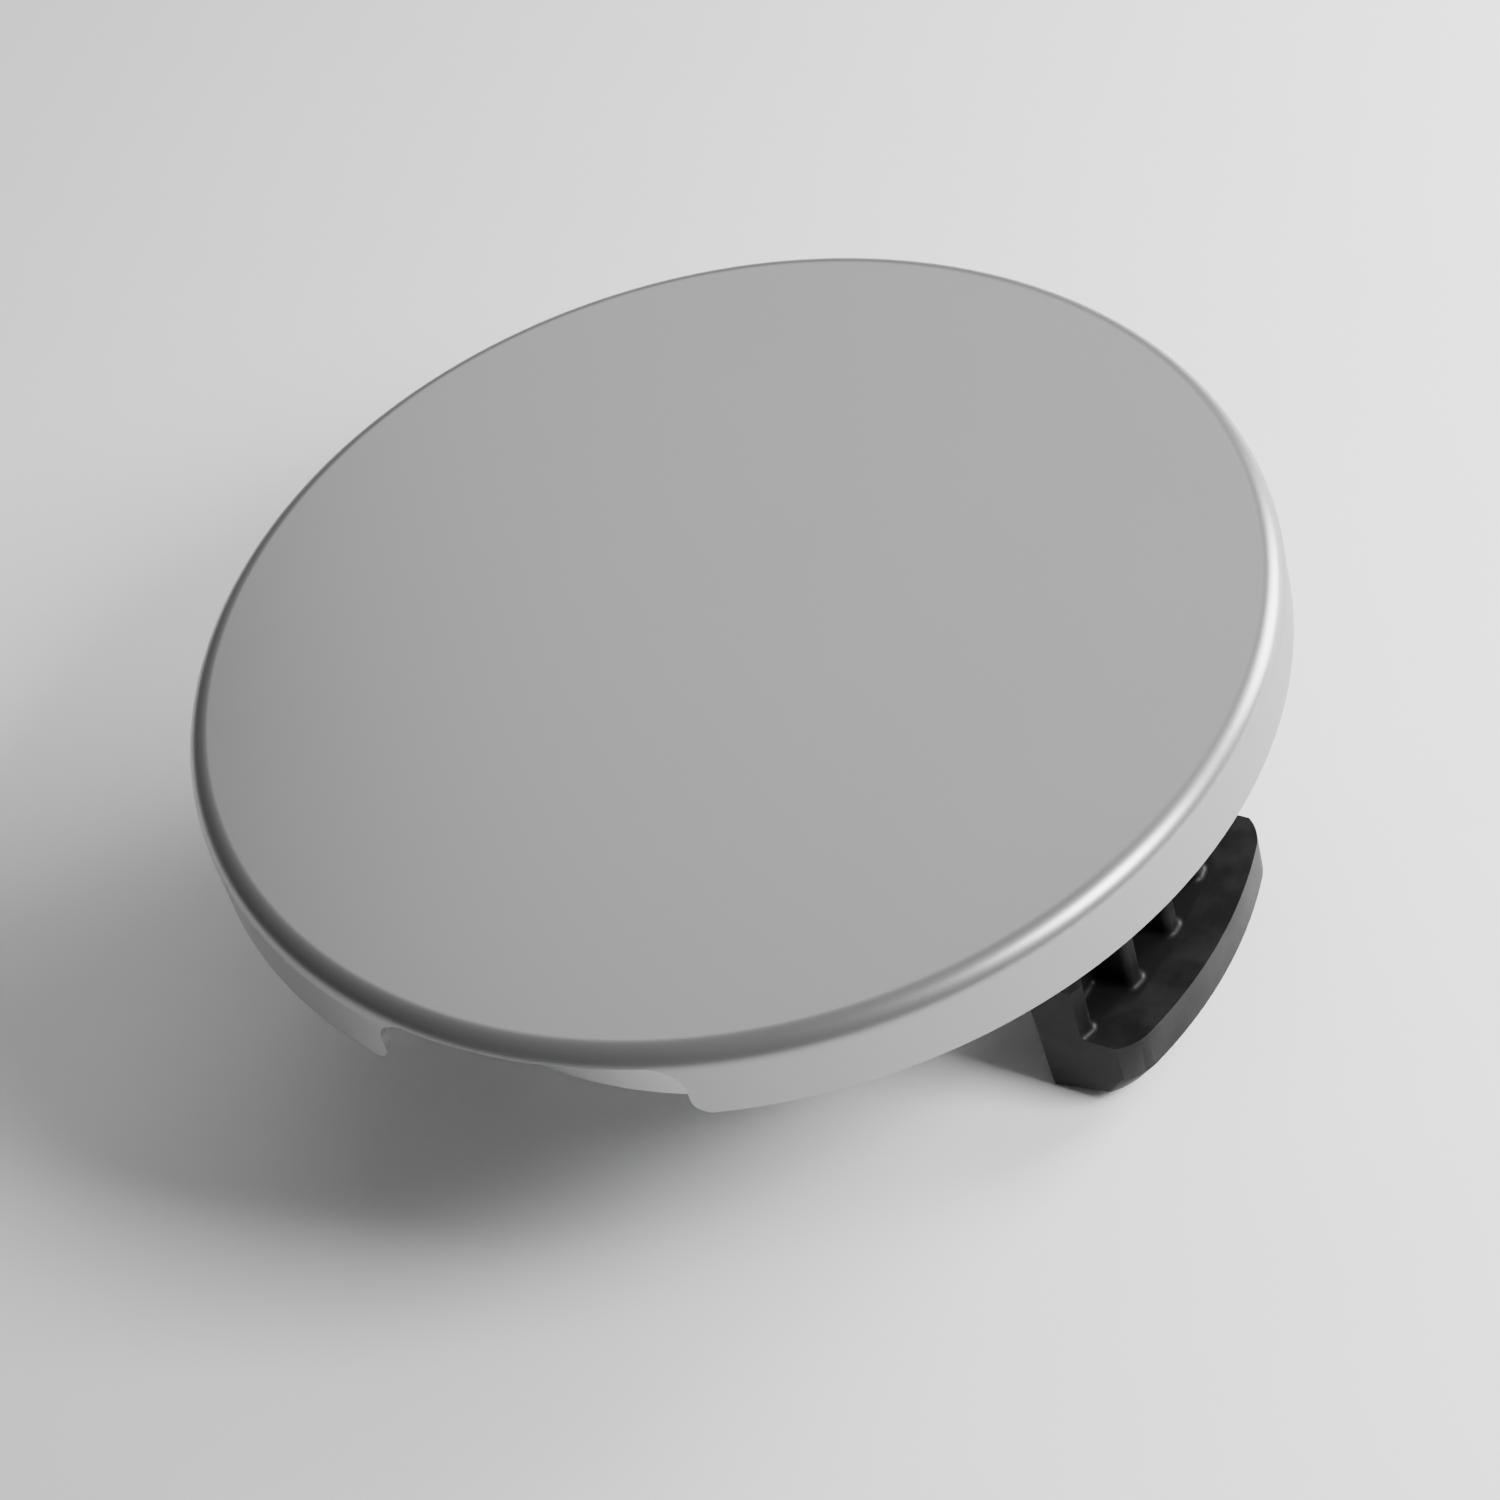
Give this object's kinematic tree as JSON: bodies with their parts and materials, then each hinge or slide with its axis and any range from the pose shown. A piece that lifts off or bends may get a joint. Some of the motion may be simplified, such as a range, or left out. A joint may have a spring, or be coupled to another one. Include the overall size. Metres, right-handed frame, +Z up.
{
  "type": "manhole cover",
  "caption": "Round smooth steel access cover with a hand notch in its skirt, a locating spigot and two ribbed black claws drawn in by a hidden cam lever.",
  "frame": {"origin": "on the cover's axis, at the height of the lowest edge of the two claws, on which the cover stands", "axes": "+Z up, out of the cover's smooth top; the two claws lie on +X and -X, and the hand notch faces roughly -Y"},
  "size_m": [0.7299, 0.7292, 0.2604],
  "materials": {
    "cover_steel": "smooth satin shot-blasted steel",
    "spigot_steel": "rolled bright steel",
    "bare_steel_plate": "mill plate, light scale",
    "ground_steel": "ground bright",
    "spring_steel": "oil blackened",
    "zinc_fastener": "bright zinc plate",
    "stainless": "bright",
    "bronze": "sintered bronze",
    "nylon": "natural nylon",
    "grip_vinyl": "soft dipped vinyl",
    "black_rubber": "matte rubber",
    "black_casting": "black coated ductile iron"
  },
  "bodies": {
    "cover": {"cover_shell": "cover_steel", "spigot": "spigot_steel", "spigot_flange": "bare_steel_plate", "seal_ring": "black_rubber", "seal_band": "stainless", "band_screw": "stainless", "stiffener_1": "bare_steel_plate", "stiffener_2": "bare_steel_plate", "stiffener_3": "bare_steel_plate", "stiffener_4": "bare_steel_plate", "gusset_1": "bare_steel_plate", "gusset_2": "bare_steel_plate", "gusset_3": "bare_steel_plate", "gusset_4": "bare_steel_plate", "gusset_5": "bare_steel_plate", "gusset_6": "bare_steel_plate", "gusset_7": "bare_steel_plate", "pivot_boss": "bare_steel_plate", "pivot_stud": "ground_steel", "pivot_washer": "zinc_fastener", "pivot_nut": "zinc_fastener", "split_pin": "stainless", "spring_keeper": "bare_steel_plate", "keeper_peg": "zinc_fastener", "torsion_spring": "spring_steel", "wear_pad_a": "nylon", "wear_pad_b": "nylon", "guide_rail_a_left": "bare_steel_plate", "guide_rail_a_right": "bare_steel_plate", "guide_rail_b_left": "bare_steel_plate", "guide_rail_b_right": "bare_steel_plate", "lever_buffers": "black_rubber", "spigot_studs": "zinc_fastener", "spigot_washers": "zinc_fastener", "spigot_nuts": "zinc_fastener", "rail_studs": "zinc_fastener", "rail_nuts": "zinc_fastener"},
    "cam": {"cam_disc": "bare_steel_plate", "hub_bush": "bronze", "lever_arm": "bare_steel_plate", "lever_grip": "grip_vinyl", "lever_bolts": "zinc_fastener", "lever_nuts": "zinc_fastener", "cam_peg": "zinc_fastener"},
    "claw_slide_a": {"slide_bar_a": "ground_steel", "claw_a": "black_casting", "cam_pin_a": "ground_steel", "pin_clip_a": "spring_steel", "claw_screws_a": "zinc_fastener"},
    "claw_slide_b": {"slide_bar_b": "ground_steel", "claw_b": "black_casting", "cam_pin_b": "ground_steel", "pin_clip_b": "spring_steel", "claw_screws_b": "zinc_fastener"}
  },
  "joints": [
    {"name": "cam_turn", "type": "hinge", "parent": "cover", "child": "cam", "pos_m": [0, 0, 0.239], "axis": [0, 0, 1], "range_deg": [0, 28], "stiffness_Nm_per_rad": 4, "springref_deg": -20.05, "deforming": ["torsion_spring"]},
    {"name": "claw_a_draw", "type": "slide", "parent": "cover", "child": "claw_slide_a", "axis": [-1, 0, 0], "range_m": [0, 0.034]},
    {"name": "claw_b_draw", "type": "slide", "parent": "cover", "child": "claw_slide_b", "axis": [1, 0, 0], "range_m": [0, 0.034]}
  ],
  "couplings": [
    {"joint": "claw_a_draw", "follows": "cam_turn", "m_per_rad": 0.0695},
    {"joint": "claw_b_draw", "follows": "cam_turn", "m_per_rad": 0.0695}
  ]
}
